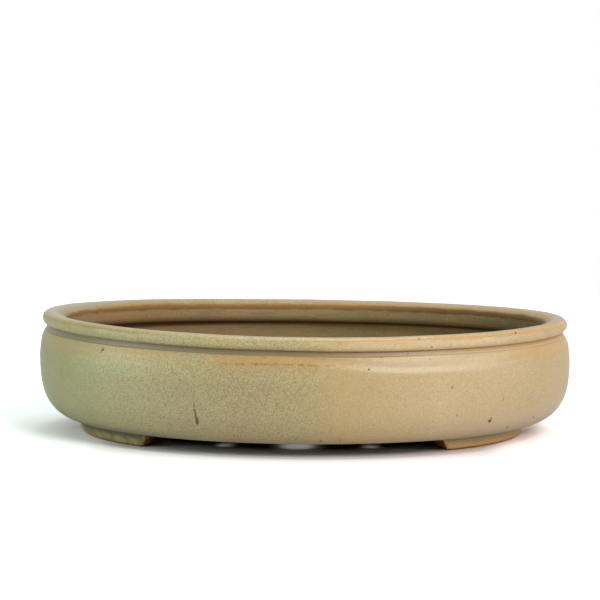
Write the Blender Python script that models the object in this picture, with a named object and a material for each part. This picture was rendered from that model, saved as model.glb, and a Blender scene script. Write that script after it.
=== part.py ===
"""Oval bonsai pot in glazed stoneware, built up from the pieces of clay it is made of.

Run it with: blender --background --python part.py

Units are metres and +Z is up. The origin lies on the ground under the middle of the pot,
X runs along the pot's length and the front of the pot faces -Y.

The pot is an oval wall that stands round a floor slab, a half-round lip over the top of the
wall, and four curved feet under the wall and the floor. Every ring is an ellipse, so a ring
is described by how far it lies inside the fullest oval of the body: its inset at the two
ends and its inset along the two long sides.
"""
from math import acos, asin, atan2, cos, hypot, pi, radians, sin, tau

import bmesh
import bpy
from mathutils import Vector

MM = 0.001

# The whole pot, over the fullest part of the body
BODY_LENGTH = 305 * MM
BODY_WIDTH = 214 * MM
POT_HEIGHT = 68 * MM
RIM_DIP = 2.2 * MM          # the middle of each long side sags this far below the two ends
SEAM = 0.3 * MM             # clearance left between pieces that are joined

# The wall
WALL_THICKNESS = 8 * MM
BELLY_HEIGHT = 41.5 * MM    # height of the fullest oval above the ground
NECK_INSET = 3.6 * MM       # depth of the groove under the lip
SHOULDER_POWER = 2.15       # how quickly the neck swells out to the belly
LOWER_POWER = 2.6           # squareness of the curve from the belly to the base
BASE_INSET_END = 28 * MM    # how far the base comes in at the two ends
BASE_INSET_SIDE = 13 * MM   # how far the base comes in along the long sides
BASE_BAND = 9 * MM          # width of the flat band that the wall stands on

# The lip
LIP_HEIGHT = 7.7 * MM       # height of its half-round outer edge
LIP_OVERHANG = 1.6 * MM     # how far it stands out over the groove
LIP_TOP_RUN = 9.2 * MM      # from the crest of the half-round to the inner edge
LIP_FALL = 3 * MM           # how far the top falls towards the inside
LIP_INNER_RADIUS = 2.5 * MM
LIP_SKIRT = 7 * MM          # straight height of the inner face
SKIRT_EDGE_RADIUS = 1 * MM

# The floor
FLOOR_THICKNESS = 8 * MM
DRAIN_HOLE_DIAMETER = 20 * MM
WIRE_HOLE_DIAMETER = 8 * MM
HOLE_ROW_OFFSET = 57 * MM   # from the middle of the pot to each row of holes
WIRE_HOLE_OFFSET = 40 * MM  # from a drainage hole to the wire hole on each side of it

# The feet
FOOT_HEIGHT = 7 * MM
FOOT_WIDTH = 22 * MM
FOOT_SETBACK = 0.6 * MM     # how far its outer face stands inside the edge of the base
FOOT_INNER_END = 84 * MM    # from the middle of the pot to the end nearest to it, along X
FOOT_END_GAP = 18 * MM      # between the front and the back foot at each end of the pot
FOOT_END_SLOPE = 2.1 * MM   # how much further each end reaches at the top than at the ground
FOOT_EDGE_RADIUS = 1 * MM

# Fineness of the faceted surfaces
RING_STEPS = 80
FOOT_STEPS = 14
ARC_STEPS = 8
CORNER_STEPS = 3
HOLE_STEPS = 24
SMOOTH_ANGLE = radians(35)

# Levels and insets that follow from the sizes above
HALF_LENGTH = BODY_LENGTH / 2
HALF_WIDTH = BODY_WIDTH / 2
BASE_LEVEL = FOOT_HEIGHT + SEAM
FLOOR_TOP = BASE_LEVEL + FLOOR_THICKNESS
LIP_BOTTOM = POT_HEIGHT - LIP_HEIGHT
WALL_TOP = LIP_BOTTOM - SEAM
LIP_RADIUS = LIP_HEIGHT / 2
CREST_INSET = NECK_INSET - LIP_OVERHANG + LIP_RADIUS
BAND_INSET_END = BASE_INSET_END + BASE_BAND
BAND_INSET_SIDE = BASE_INSET_SIDE + BASE_BAND

# Colours as they look on screen, from 0 to 255
GLAZE_COLOUR = (178, 163, 125)
LIP_COLOUR = (191, 171, 131)
CLAY_COLOUR = (122, 97, 68)
FOOT_COLOUR = (168, 150, 108)
GLAZE_ROUGHNESS = 0.42
CLAY_ROUGHNESS = 0.85


def linear_colour(screen_colour):
    """Turn an on-screen colour into the linear values that a shader takes."""
    values = []
    for channel in screen_colour:
        share = channel / 255
        values.append(share / 12.92 if share <= 0.04045 else ((share + 0.055) / 1.055) ** 2.4)
    return (*values, 1.0)


def ceramic(name, screen_colour, roughness):
    """One fired clay or glaze surface."""
    material = bpy.data.materials.new(name)
    material.use_nodes = True
    shader = material.node_tree.nodes["Principled BSDF"]
    shader.inputs["Base Color"].default_value = linear_colour(screen_colour)
    shader.inputs["Roughness"].default_value = roughness
    shader.inputs["Metallic"].default_value = 0.0
    return material


def make_piece(name, mesh_builder, material, parent, level=0.0):
    """Close up a bmesh as one named, smoothly shaded object that stands at a level of the pot."""
    bmesh.ops.recalc_face_normals(mesh_builder, faces=mesh_builder.faces)
    mesh = bpy.data.meshes.new(name)
    mesh_builder.to_mesh(mesh)
    mesh_builder.free()
    mesh.shade_smooth()
    mesh.set_sharp_from_angle(angle=SMOOTH_ANGLE)
    mesh.materials.append(material)
    piece = bpy.data.objects.new(name, mesh)
    piece.parent = parent
    piece.location.z = level
    bpy.context.scene.collection.objects.link(piece)
    return piece


def dip(x, height):
    """How far the rim has sagged at this place: most in the middle of the long sides."""
    rise = max(0.0, (height - FLOOR_TOP) / (POT_HEIGHT - FLOOR_TOP))
    along = min(1.0, abs(x) / (HALF_LENGTH - CREST_INSET))
    return RIM_DIP * rise * (1 - along ** 2)


def ring_point(inset_end, inset_side, height, turn):
    """A point on the ellipse with these insets, at one height and one turn round the pot."""
    x = (HALF_LENGTH - inset_end) * cos(turn)
    y = (HALF_WIDTH - inset_side) * sin(turn)
    return Vector((x, y, height - dip(x, height)))


def sweep_round(section):
    """Carry a closed section, given as (end inset, side inset, height), once round the oval."""
    builder = bmesh.new()
    rings = []
    for step in range(RING_STEPS):
        turn = tau * step / RING_STEPS
        rings.append([builder.verts.new(ring_point(*corner, turn)) for corner in section])
    for ring, following in zip(rings, rings[1:] + rings[:1]):
        for corner in range(len(section)):
            after = (corner + 1) % len(section)
            builder.faces.new((ring[corner], ring[after], following[after], following[corner]))
    return builder


def shoulder_inset(height):
    """Inset of the outside of the wall between the belly and the groove under the lip."""
    climb = (height - BELLY_HEIGHT) / (WALL_TOP - BELLY_HEIGHT)
    return NECK_INSET * climb ** SHOULDER_POWER


def lower_curve(bottom, steps):
    """Yield (share of the inset, height) from just below the belly down to the given level."""
    for step in range(1, steps + 1):
        angle = pi / 2 * step / steps
        share = 1 - cos(angle) ** (2 / LOWER_POWER) if step < steps else 1.0
        drop = sin(angle) ** (2 / LOWER_POWER)
        yield share, BELLY_HEIGHT - (BELLY_HEIGHT - bottom) * drop


def wall_section():
    """The wall's closed section: down the outside, across the band, and up the inside."""
    shoulder = []
    for step in range(ARC_STEPS + 1):
        height = WALL_TOP - (WALL_TOP - BELLY_HEIGHT) * step / ARC_STEPS
        shoulder.append((shoulder_inset(height), height))
    section = [(inset, inset, height) for inset, height in shoulder]
    for share, height in lower_curve(BASE_LEVEL, ARC_STEPS + 2):
        section.append((BASE_INSET_END * share, BASE_INSET_SIDE * share, height))
    section.append((BAND_INSET_END, BAND_INSET_SIDE, BASE_LEVEL))
    inside = []
    for share, height in lower_curve(FLOOR_TOP, ARC_STEPS):
        end = WALL_THICKNESS + (BAND_INSET_END - WALL_THICKNESS) * share
        side = WALL_THICKNESS + (BAND_INSET_SIDE - WALL_THICKNESS) * share
        inside.append((end, side, height))
    section.extend(reversed(inside))
    for inset, height in reversed(shoulder):
        section.append((inset + WALL_THICKNESS, inset + WALL_THICKNESS, height))
    return section


def lip_section():
    """The lip's closed section, as (inset, height): half-round, sloping top and inner skirt."""
    outline = []
    middle = POT_HEIGHT - LIP_RADIUS
    for step in range(ARC_STEPS + 1):
        angle = -pi / 2 + pi * step / ARC_STEPS
        outline.append((CREST_INSET - LIP_RADIUS * cos(angle), middle + LIP_RADIUS * sin(angle)))
    for step in range(1, CORNER_STEPS + 2):
        share = step / (CORNER_STEPS + 1)
        outline.append((CREST_INSET + LIP_TOP_RUN * share, POT_HEIGHT - LIP_FALL * share ** 2))

    lean = atan2(2 * LIP_FALL, LIP_TOP_RUN)
    corner_inset = CREST_INSET + LIP_TOP_RUN - LIP_INNER_RADIUS * sin(lean)
    corner_height = POT_HEIGHT - LIP_FALL - LIP_INNER_RADIUS * cos(lean)
    for step in range(1, CORNER_STEPS + 1):
        angle = lean + (pi / 2 - lean) * step / CORNER_STEPS
        outline.append((corner_inset + LIP_INNER_RADIUS * sin(angle),
                        corner_height + LIP_INNER_RADIUS * cos(angle)))

    face_inset = corner_inset + LIP_INNER_RADIUS
    skirt_bottom = corner_height - LIP_SKIRT
    for step in range(CORNER_STEPS + 1):
        angle = pi / 2 * step / CORNER_STEPS
        outline.append((face_inset - SKIRT_EDGE_RADIUS * (1 - cos(angle)),
                        skirt_bottom + SKIRT_EDGE_RADIUS * (1 - sin(angle))))

    behind = WALL_THICKNESS + SEAM
    for step in range(CORNER_STEPS + 1):
        height = skirt_bottom + (LIP_BOTTOM - skirt_bottom) * step / CORNER_STEPS
        outline.append((behind + shoulder_inset(min(height, WALL_TOP)), height))
    return [(inset, inset, height) for inset, height in outline]


def circle_loop(builder, x, y, radius):
    """A closed ring of edges that will become the mouth of a hole."""
    corners = []
    for step in range(HOLE_STEPS):
        angle = tau * step / HOLE_STEPS
        corners.append(builder.verts.new((x + radius * cos(angle), y + radius * sin(angle), 0)))
    return close_loop(builder, corners)


def close_loop(builder, corners):
    """Join the corners in turn, the last one to the first, and return the edges."""
    return [builder.edges.new(pair) for pair in zip(corners, corners[1:] + corners[:1])]


def floor_slab():
    """The oval slab, its underside at height 0, with two rows of one drainage and two wire holes."""
    builder = bmesh.new()
    corners = []
    for step in range(RING_STEPS):
        turn = tau * step / RING_STEPS
        corners.append(builder.verts.new(ring_point(BAND_INSET_END + SEAM, BAND_INSET_SIDE + SEAM, 0, turn)))
    edges = close_loop(builder, corners)
    for row in (-HOLE_ROW_OFFSET, HOLE_ROW_OFFSET):
        edges += circle_loop(builder, 0, row, DRAIN_HOLE_DIAMETER / 2)
        for x in (-WIRE_HOLE_OFFSET, WIRE_HOLE_OFFSET):
            edges += circle_loop(builder, x, row, WIRE_HOLE_DIAMETER / 2)
    bmesh.ops.triangle_fill(builder, edges=edges, use_beauty=True, use_dissolve=False)
    raised = bmesh.ops.extrude_face_region(builder, geom=builder.faces[:], use_keep_orig=True)
    top = [item for item in raised["geom"] if isinstance(item, bmesh.types.BMVert)]
    bmesh.ops.translate(builder, verts=top, vec=(0, 0, FLOOR_THICKNESS))
    return builder


def foot_section():
    """The foot's section as (distance inside its outer face, height), rounded at the ground."""
    outline = [(0, FOOT_HEIGHT)]
    for step in range(CORNER_STEPS + 1):
        angle = pi / 2 * step / CORNER_STEPS
        outline.append((FOOT_EDGE_RADIUS * (1 - cos(angle)), FOOT_EDGE_RADIUS * (1 - sin(angle))))
    for step in range(CORNER_STEPS + 1):
        angle = pi / 2 * step / CORNER_STEPS
        outline.append((FOOT_WIDTH - FOOT_EDGE_RADIUS * (1 - sin(angle)),
                        FOOT_EDGE_RADIUS * (1 - cos(angle))))
    outline.append((FOOT_WIDTH, FOOT_HEIGHT))
    return outline


def curved_foot(side_x, side_y):
    """One foot that follows the base, in the quarter of the pot given by two signs."""
    reach_x = HALF_LENGTH - BASE_INSET_END - FOOT_SETBACK
    reach_y = HALF_WIDTH - BASE_INSET_SIDE - FOOT_SETBACK
    start = asin(FOOT_END_GAP / 2 / reach_y)
    finish = acos(FOOT_INNER_END / reach_x)
    start_slope = FOOT_END_SLOPE / hypot(reach_x * sin(start), reach_y * cos(start))
    finish_slope = FOOT_END_SLOPE / hypot(reach_x * sin(finish), reach_y * cos(finish))

    builder = bmesh.new()
    section = foot_section()
    rows = []
    for step in range(FOOT_STEPS + 1):
        share = step / FOOT_STEPS
        row = []
        for inside, height in section:
            climb = height / FOOT_HEIGHT
            first = start - start_slope * climb
            last = finish + finish_slope * climb
            turn = first + (last - first) * share
            outward = Vector((reach_y * cos(turn), reach_x * sin(turn), 0)).normalized()
            point = Vector((reach_x * cos(turn), reach_y * sin(turn), height)) - outward * inside
            row.append(builder.verts.new((point.x * side_x, point.y * side_y, point.z)))
        rows.append(row)
    for row, following in zip(rows, rows[1:]):
        for corner in range(len(section)):
            after = (corner + 1) % len(section)
            builder.faces.new((row[corner], row[after], following[after], following[corner]))
    builder.faces.new(rows[0])
    builder.faces.new(rows[-1])
    return builder


def build_pot():
    """Model every piece of the pot under one empty."""
    pot = bpy.data.objects.new("bonsai_pot", None)
    bpy.context.scene.collection.objects.link(pot)
    wall_glaze = ceramic("wall_glaze", GLAZE_COLOUR, GLAZE_ROUGHNESS)
    lip_glaze = ceramic("lip_glaze", LIP_COLOUR, GLAZE_ROUGHNESS)
    floor_clay = ceramic("floor_clay", CLAY_COLOUR, CLAY_ROUGHNESS)
    make_piece("wall", sweep_round(wall_section()), wall_glaze, pot)
    make_piece("lip", sweep_round(lip_section()), lip_glaze, pot)
    make_piece("floor", floor_slab(), floor_clay, pot, level=BASE_LEVEL)
    for row, side_y in (("front", -1), ("back", 1)):
        for column, side_x in (("left", -1), ("right", 1)):
            name = f"foot_{row}_{column}"
            foot_glaze = ceramic(name + "_glaze", FOOT_COLOUR, GLAZE_ROUGHNESS)
            make_piece(name, curved_foot(side_x, side_y), foot_glaze, pot)
    return pot


for leftover in list(bpy.data.objects):
    bpy.data.objects.remove(leftover)

build_pot()
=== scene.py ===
# %% [markdown]
# # An oval bonsai pot in ash-glazed stoneware
#
# This lesson takes the plain solids of a shallow oval bonsai pot and gives each one the surface
# of the real thing: a wall with a full belly, a half-round lip over a groove, a floor with
# drainage holes, and four curved feet, all under a satin glaze that goes from olive green at
# one end to warm tan at the other.
#
# The solids come first. They hold the true sizes, so nothing below is fitted by eye: every
# piece is drawn from the same few numbers, in metres, with the origin on the ground under the
# middle of the pot, X along its length, and its front towards -Y.


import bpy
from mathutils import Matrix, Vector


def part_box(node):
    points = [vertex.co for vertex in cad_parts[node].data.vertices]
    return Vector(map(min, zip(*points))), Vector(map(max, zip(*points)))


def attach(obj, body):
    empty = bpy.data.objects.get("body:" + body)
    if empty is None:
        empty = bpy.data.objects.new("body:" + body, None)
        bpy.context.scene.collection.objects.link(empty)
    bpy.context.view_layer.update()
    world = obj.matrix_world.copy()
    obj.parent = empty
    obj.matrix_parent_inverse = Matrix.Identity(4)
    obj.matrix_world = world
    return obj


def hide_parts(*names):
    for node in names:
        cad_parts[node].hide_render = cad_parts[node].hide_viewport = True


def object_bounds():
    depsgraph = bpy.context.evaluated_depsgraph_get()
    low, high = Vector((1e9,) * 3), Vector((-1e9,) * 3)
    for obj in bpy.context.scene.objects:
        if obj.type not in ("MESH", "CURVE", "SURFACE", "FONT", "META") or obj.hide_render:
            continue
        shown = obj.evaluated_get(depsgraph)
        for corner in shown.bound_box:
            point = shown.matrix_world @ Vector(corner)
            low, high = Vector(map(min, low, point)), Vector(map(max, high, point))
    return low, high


def sizes_in_mm(low, high):
    """The three sizes of a box between two corners, in millimetres."""
    return [round(1000 * (end - start), 1) for start, end in zip(low, high)]


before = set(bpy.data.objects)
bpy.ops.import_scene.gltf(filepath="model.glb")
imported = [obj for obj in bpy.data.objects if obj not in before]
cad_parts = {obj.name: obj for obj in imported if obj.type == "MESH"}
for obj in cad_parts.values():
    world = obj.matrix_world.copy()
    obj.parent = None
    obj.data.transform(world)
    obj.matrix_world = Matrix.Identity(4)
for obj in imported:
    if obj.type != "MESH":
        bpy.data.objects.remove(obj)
solid_low, solid_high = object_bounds()
print("solids:", ", ".join(sorted(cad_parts)))
print("size in mm:", sizes_in_mm(solid_low, solid_high))

# %% [markdown]
# ## The sizes that every piece shares
#
# Five sizes can be read off the solids. The rest describe the section of the clay: how deep
# the groove is, how high the belly, how thick the wall. The rim of the real pot is not level,
# because wet clay sags: the middle of each long side hangs a little lower than the ends, and
# the left end stands a little higher than the right one.

# %% Sizes of the pot
from math import acos, asin, atan2, cos, degrees, hypot, pi, radians, sin, tau

import bpy
from mathutils import Matrix, Quaternion, Vector

MM = 0.001
HALF_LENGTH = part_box("wall")[1].x
HALF_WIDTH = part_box("wall")[1].y
BASE_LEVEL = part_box("wall")[0].z
FLOOR_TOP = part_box("floor")[1].z
POT_HEIGHT = solid_high.z

BELLY_HEIGHT = 41.5 * MM
WALL_THICKNESS = 8 * MM
NECK_INSET = 3.6 * MM
NECK_TOP = POT_HEIGHT - 8 * MM
BASE_INSET_END = 28 * MM
BASE_INSET_SIDE = 13 * MM
BASE_BAND = 9 * MM
RIM_DIP = 2.2 * MM
RIM_TILT = radians(0.54)
print("oval of", round(2000 * HALF_LENGTH), "by", round(2000 * HALF_WIDTH), "mm")

# %% [markdown]
# ## Sums on sockets
#
# Both the shapes and the glazes below are made of nodes, and most of those nodes are
# arithmetic. `Flow` wraps an output socket so that `1 - mask` or `height / 2` can be written as
# an ordinary sum, and each sum adds the Math node that does it. The words from `plus` to
# `length` do the same for vectors and colours. `Bench` holds the node tree itself. Its method
# `node` makes any other node: the type first, then the values or links of its sockets, then its
# settings by name.

# %% A bench for wiring up nodes
def node_sum(operation, kind="ShaderNodeMath", second=1, output=0, swapped=False):
    """A method for Flow that adds the node for one operation."""
    def method(flow, other=None):
        operands = {0: flow}
        if other is not None:
            operands = {0: other, 1: flow} if swapped else {0: flow, second: other}
        return flow.bench.node(kind, operands, output, operation=operation)

    return method


def vector_sum(operation, second=1, output=0):
    """The same for an operation on vectors."""
    return node_sum(operation, "ShaderNodeVectorMath", second, output)


class Flow:
    """A value that flows out of a node, on which sums can be written."""

    __add__ = node_sum("ADD")
    __radd__ = node_sum("ADD", swapped=True)
    __sub__ = node_sum("SUBTRACT")
    __rsub__ = node_sum("SUBTRACT", swapped=True)
    __mul__ = node_sum("MULTIPLY")
    __rmul__ = node_sum("MULTIPLY", swapped=True)
    __truediv__ = node_sum("DIVIDE")
    __rtruediv__ = node_sum("DIVIDE", swapped=True)
    __pow__ = node_sum("POWER")
    size = node_sum("ABSOLUTE")
    cosine = node_sum("COSINE")
    sine = node_sum("SINE")
    at_least = node_sum("MAXIMUM")
    at_most = node_sum("MINIMUM")
    plus = vector_sum("ADD")
    minus = vector_sum("SUBTRACT")
    times = vector_sum("MULTIPLY")
    scaled = vector_sum("SCALE", second="Scale")
    unit = vector_sum("NORMALIZE")
    length = vector_sum("LENGTH", output=1)

    def __init__(self, bench, socket):
        self.bench = bench
        self.socket = socket

    def siblings(self):
        """All the outputs of the node that this one comes from."""
        return [Flow(self.bench, socket) for socket in self.socket.node.outputs]

    def split(self):
        """The three parts of a vector."""
        return self.bench.node("ShaderNodeSeparateXYZ", {0: self}).siblings()

    def ease(self, start, end):
        """0 at the start, 1 at the end, and a smooth change in between."""
        sockets = {0: self, 1: start, 2: end, 3: 0.0, 4: 1.0}
        return self.bench.node("ShaderNodeMapRange", sockets, interpolation_type="SMOOTHSTEP")

    def near(self, middle, reach, core=0.0):
        """1 in the core round a middle value, easing to 0 at its reach."""
        return (self - middle).size().ease(reach, core)

    def noise(self, grain, detail=2, seed=0, output=0):
        """Smooth noise from 0 to 1 whose lumps are about one grain across.

        The seed is a fourth coordinate, so it is divided by the grain like the other three.
        """
        sockets = {"Vector": self, "W": seed, "Scale": 1 / grain, "Detail": detail}
        return self.bench.node("ShaderNodeTexNoise", sockets, output, noise_dimensions="4D")

    def wobble(self, grain, amount, detail=2, seed=0):
        """Noise that swings by half the amount to either side of 0."""
        return (self.noise(grain, detail, seed) - 0.5) * amount

    def into(self, kind, sockets=None, **settings):
        """What comes out when this geometry goes into the first socket of another node."""
        return self.bench.node("GeometryNode" + kind, {0: self, **(sockets or {})}, **settings)

    def mark(self, name):
        """A value that is stored on the points, as a material reads it."""
        return self.bench.node("ShaderNodeAttribute", output=2, attribute_name=name)


class Bench:
    """A node tree that is being wired up."""

    def __init__(self, tree):
        self.tree = tree

    def wire(self, made, sockets):
        """Give the sockets of a node their values and links."""
        for name, value in sockets.items():
            if isinstance(value, Flow):
                self.tree.links.new(value.socket, made.inputs[name])
            else:
                made.inputs[name].default_value = value

    def node(self, kind, sockets=None, output=0, **settings):
        made = self.tree.nodes.new(kind)
        for name, setting in settings.items():
            setattr(made, name, setting)
        self.wire(made, sockets or {})
        return Flow(self, made.outputs[output]) if made.outputs else None

    def join(self, x, y, z):
        return self.node("ShaderNodeCombineXYZ", {0: x, 1: y, 2: z})

    def stored(self, name):
        """A value that is stored on the points, as a Geometry Nodes tree reads it."""
        return self.node("GeometryNodeInputNamedAttribute", {"Name": name}, data_type="FLOAT")


print("bench ready, with", len([name for name in vars(Flow) if not name.startswith("__init")]), "tools")

# %% [markdown]
# ## The clay carried round the oval
#
# A potter makes a pot like this from a strip of clay stood on edge round an oval slab, and
# trues it up with a template of the section. The tree below does the same. Its input is the
# section: a closed line whose points hold the inset at the two ends, the inset along the
# sides, and the height. A grid gives every turn round the pot its own copy of that line, and
# Set Position moves each copy out to its ellipse.
#
# The sag of the rim and the unevenness of handwork are part of the same rule, so the wall and the
# lip, which go through the same tree, always meet. So is the soft ridge that runs round the
# shoulder: it lies 4 mm below the groove on the left, wanders down to 9 mm right of the middle,
# and comes back up at the right end.

# %% Open a Geometry Nodes tree with named inputs
WELD = 0.01 * MM


def open_tree(name, amounts):
    """Start a tree with an input for each of these amounts, and return its bench and its inputs."""
    tree = bpy.data.node_groups.new(name, "GeometryNodeTree")
    kinds = {label: type(amount).__name__.capitalize() for label, amount in amounts.items()}
    for label, kind in {"Section": "Geometry", **kinds, "Finish": "Material"}.items():
        tree.interface.new_socket(label, in_out="INPUT", socket_type=f"NodeSocket{kind}")
    tree.interface.new_socket("Piece", in_out="OUTPUT", socket_type="NodeSocketGeometry")
    bench = Bench(tree)
    flows = bench.node("NodeGroupInput").siblings()
    return bench, {flow.socket.name: flow for flow in flows if flow.socket.name}


def close_tree(mesh, finish):
    """End a tree: real geometry instead of instances, smooth shading, and the finish."""
    smooth = mesh.into("RealizeInstances").into("SetShadeSmooth", {"Shade Smooth": True})
    dressed = smooth.into("SetMaterial", {"Material": finish})
    mesh.bench.node("NodeGroupOutput", {"Piece": dressed})
    return mesh.bench.tree


def keep(mesh, name, value):
    """Store a value on the points of a mesh, for the glaze to read."""
    return mesh.into("StoreNamedAttribute", {"Name": name, "Value": value}, data_type="FLOAT")


def weld(mesh):
    """Merge the points that lie on top of each other."""
    return mesh.into("MergeByDistance", {"Distance": WELD})


# %% [markdown]
# The tree itself. `settle` is the rule for everything that is not a perfect oval: it takes the
# place where a point would be on a perfect pot and returns where it is on this one. The pairs
# of numbers say where along the pot, or across it, something begins and where it is complete.

# %% Build the tree for the wall and the lip
SECTION_MARKS = ("thin", "pooled_and_shaded", "past")
BY_HAND = {
    "Half Length": HALF_LENGTH,
    "Half Width": HALF_WIDTH,
    "Turns": 360,
    "Rim Dip": RIM_DIP,
    "Front Slump": 0.6 * MM,
    "Rim Tilt": RIM_TILT,
    "Dip Starts": FLOOR_TOP,
    "Rim Height": POT_HEIGHT,
    "Lip Swell": 0.8 * MM,
    "Swell Depth": 7.5 * MM,
    "Swell Reach": 5 * MM,
    "Ridge Raise": 0.2 * MM,
    "Ridge Drop": 14.6 * MM,
    "Ridge Wander": 5.5 * MM,
    "Ridge Reach": 4 * MM,
    "Furrow Above": 3.1 * MM,
    "Furrow Reach": 3.6 * MM,
    "Unevenness": 0.7 * MM,
    "Lump Size": 45 * MM,
    "Seed": 8,
}
FRONT = (20 * MM, -60 * MM)
SWELL_GROWS = (-20 * MM, 60 * MM)
RIDGE_LEAVES = (-10 * MM, 65 * MM)
RIDGE_RETURNS = (150 * MM, 80 * MM)
RIDGE_GROWS = (0.0, 60 * MM)
RIDGE_GROWTH = 0.4


def settle(given, place):
    """Let the rim sag and tilt, raise the ridge, and add the unevenness of handwork."""
    x, y, z = place.split()
    start = given["Dip Starts"]
    rim = given["Rim Height"]
    climb = ((z - start) / (rim - start)).at_least(0.0)
    along = (x / given["Half Length"]).size().at_most(1.0)
    front = y.ease(*FRONT)
    sag = (given["Rim Dip"] + given["Front Slump"] * front) * climb * (1 - along * along)
    at_groove = z.near(rim - given["Swell Depth"], given["Swell Reach"])
    swell = given["Lip Swell"] * front * at_groove * x.ease(*SWELL_GROWS)
    lean = given["Rim Tilt"] * x * z / rim
    sunk = place.bench.join(x, y, z - sag - swell - lean)

    wanders = x.ease(*RIDGE_LEAVES) * x.ease(*RIDGE_RETURNS)
    above = z - (rim - given["Ridge Drop"] - given["Ridge Wander"] * wanders)
    raised = above.near(0.0, given["Ridge Reach"]) - above.near(given["Furrow Above"], given["Furrow Reach"])
    outward = place.bench.join(x / given["Half Length"] ** 2, y / given["Half Width"] ** 2, 0.0).unit()
    bulge = outward.scaled(given["Ridge Raise"] * raised * (1 + RIDGE_GROWTH * x.ease(*RIDGE_GROWS)))
    lumps = place.noise(given["Lump Size"], seed=given["Seed"], output=1).minus((0.5, 0.5, 0.5))
    loose = given["Unevenness"] * z.ease(start, rim)
    return sunk.plus(bulge).plus(lumps.scaled(loose))


def oval_tree():
    """Carry a closed section once round an ellipse."""
    bench, given = open_tree("carried_round_the_oval", BY_HAND)
    section = given["Section"]
    count = section.into("AttributeDomainSize")
    rows = count + 1
    grid = bench.node("GeometryNodeMeshGrid", {"Vertices X": given["Turns"] + 1, "Vertices Y": rows})

    def whole(operation, first, second):
        return bench.node("FunctionNodeIntegerMath", {0: first, 1: second}, operation=operation)

    index = bench.node("GeometryNodeInputIndex")
    column = whole("DIVIDE_FLOOR", index, rows)
    corner = whole("MODULO", whole("MODULO", index, rows), count)

    def at_corner(value, kind):
        return section.into("SampleIndex", {"Value": value, "Index": corner}, data_type=kind)

    for name in SECTION_MARKS:
        grid = keep(grid, name, at_corner(bench.stored(name), "FLOAT"))
    insets = at_corner(bench.node("GeometryNodeInputPosition"), "FLOAT_VECTOR")
    inset_end, inset_side, height = insets.split()
    turn = column / given["Turns"] * tau
    x = (given["Half Length"] - inset_end) * turn.cosine()
    y = (given["Half Width"] - inset_side) * turn.sine()
    ring = grid.into("SetPosition", {"Position": settle(given, bench.join(x, y, height))})
    return close_tree(weld(ring), given["Finish"])


OVAL = oval_tree()
print("oval tree:", len(OVAL.nodes), "nodes")

# %% [markdown]
# A finished section is a line of points, and each point carries three marks for the glaze.
# `thin` says how far the glaze has run off a sharp edge, `pooled_and_shaded` how deep it lies in
# a hollow, and above 1 how far up the groove under the lip, where painted shade is laid, and
# `past` how many millimetres the point is beyond the line where the glaze stops: negative on
# the glazed side, positive on bare clay.

# %% Draw a section and send it through a tree
def store_marks(mesh, marks):
    """Store named values on the points of a mesh."""
    for name, values in marks.items():
        mesh.attributes.new(name, "FLOAT", "POINT").data.foreach_set("value", values)


def section_mesh(name, corners, glaze_line):
    """A closed line through (end inset, side inset, height, thin, pooled_and_shaded) corners."""
    places = [Vector(corner[:3]) for corner in corners]
    lengths = [0.0]
    for place, following in zip(places, places[1:]):
        lengths.append(lengths[-1] + hypot(following.y - place.y, following.z - place.z))
    mesh = bpy.data.meshes.new(name)
    edges = [(index, (index + 1) % len(places)) for index in range(len(places))]
    mesh.from_pydata(places, edges, [])
    store_marks(mesh, {
        "thin": [corner[3] for corner in corners],
        "pooled_and_shaded": [corner[4] for corner in corners],
        "past": [(length - lengths[glaze_line]) / MM for length in lengths],
    })
    return mesh


def put_in_scene(name, data):
    """A new object in the scene."""
    thing = bpy.data.objects.new(name, data)
    bpy.context.scene.collection.objects.link(thing)
    return thing


def run_tree(tree, starting_mesh, amounts):
    """Send a mesh through a tree and return the result as a plain mesh."""
    maker = put_in_scene("maker", starting_mesh)
    modifier = maker.modifiers.new("tree", "NODES")
    modifier.node_group = tree
    for socket in tree.interface.items_tree:
        if socket.in_out == "INPUT" and socket.name in amounts:
            modifier[socket.identifier] = amounts[socket.name]
    finished = maker.evaluated_get(bpy.context.evaluated_depsgraph_get())
    mesh = bpy.data.meshes.new_from_object(finished)
    bpy.data.objects.remove(maker)
    return mesh


def stand_in_place(mesh, name, node):
    """Make a mesh the piece that is seen instead of a solid."""
    mesh.name = name
    piece = put_in_scene(name, mesh)
    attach(piece, "root")
    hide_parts(node)
    print(name, "stands for", node, "with", len(mesh.polygons), "faces")
    return piece


# %% [markdown]
# ## Colours as they look
#
# A glaze is easiest to describe by its colour on screen, from 0 to 255. Shaders work in linear
# light, so each colour is turned once, where it is laid on. From here on a triple such as
# `(165, 160, 121)` is a colour on screen.

# %% Turn screen colours into linear light
MIX_SHARE, MIX_UNDER, MIX_OVER, MIX_RESULT = 0, 6, 7, 2


def seen(red, green, blue):
    """The linear colour of a screen colour."""
    linear = []
    for channel in (red, green, blue):
        share = channel / 255
        linear.append(share / 12.92 if share <= 0.04045 else ((share + 0.055) / 1.055) ** 2.4)
    return (*linear, 1.0)


def blend(share, under, over):
    """Lay one colour over another by a share. Each may be a flow, a triple or a linear colour."""
    under, over = (
        seen(*colour) if isinstance(colour, tuple) and len(colour) == 3 else colour
        for colour in (under, over)
    )
    sockets = {MIX_SHARE: share, MIX_UNDER: under, MIX_OVER: over}
    return share.bench.node("ShaderNodeMix", sockets, MIX_RESULT, data_type="RGBA")


def coats(colour, *layers):
    """Lay one tint after another over a colour, each by its share."""
    for share, tint in layers:
        colour = blend(share, colour, tint)
    return colour


def ramp(x, stops):
    """The colour that (share of the pot's length, colour) stops give at x millimetres."""
    share = x / (2 * HALF_LENGTH / MM) + 0.5
    found = x.bench.node("ShaderNodeValToRGB", {0: share})
    elements = found.socket.node.color_ramp.elements
    while len(elements) < len(stops):
        elements.new(1.0)
    for element, (position, colour) in zip(elements, stops):
        element.position = position
        element.color = seen(*colour)
    return found


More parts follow.
